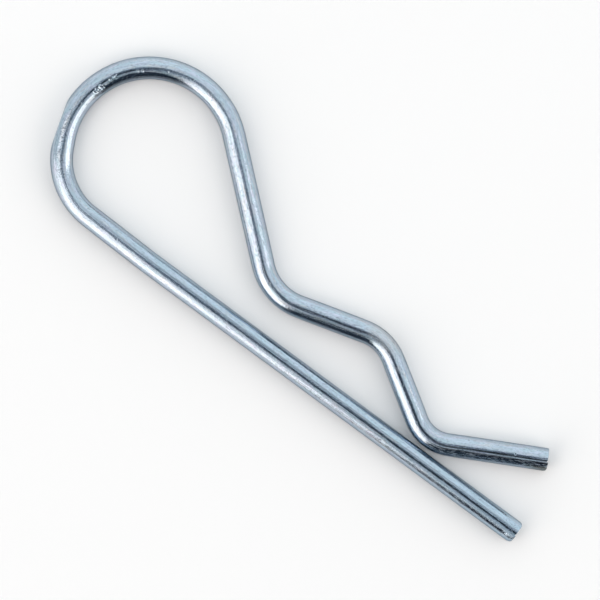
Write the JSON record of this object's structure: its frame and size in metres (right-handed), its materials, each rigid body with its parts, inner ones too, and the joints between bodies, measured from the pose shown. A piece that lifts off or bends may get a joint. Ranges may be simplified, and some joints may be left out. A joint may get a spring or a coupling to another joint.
{
  "type": "hitch r clip",
  "caption": "Spring wire R clip that locks a hitch pin: a straight leg, a round loop, and an arm that humps over the pin, nips it and ends in a lead-in.",
  "frame": {"origin": "centre of the pin seat, where the leg's axis crosses the axis of the hitch pin", "axes": "+X along the leg to its tip, +Y towards the arm, +Z square to the plane that the wire is bent in"},
  "size_m": [0.0801, 0.0255, 0.003],
  "materials": {
    "zinc_wire": "bright blue-white zinc plating over drawn spring wire, with fine lengthwise draw lines"
  },
  "bodies": {
    "root": {"clip_wire": "zinc_wire"}
  },
  "joints": []
}
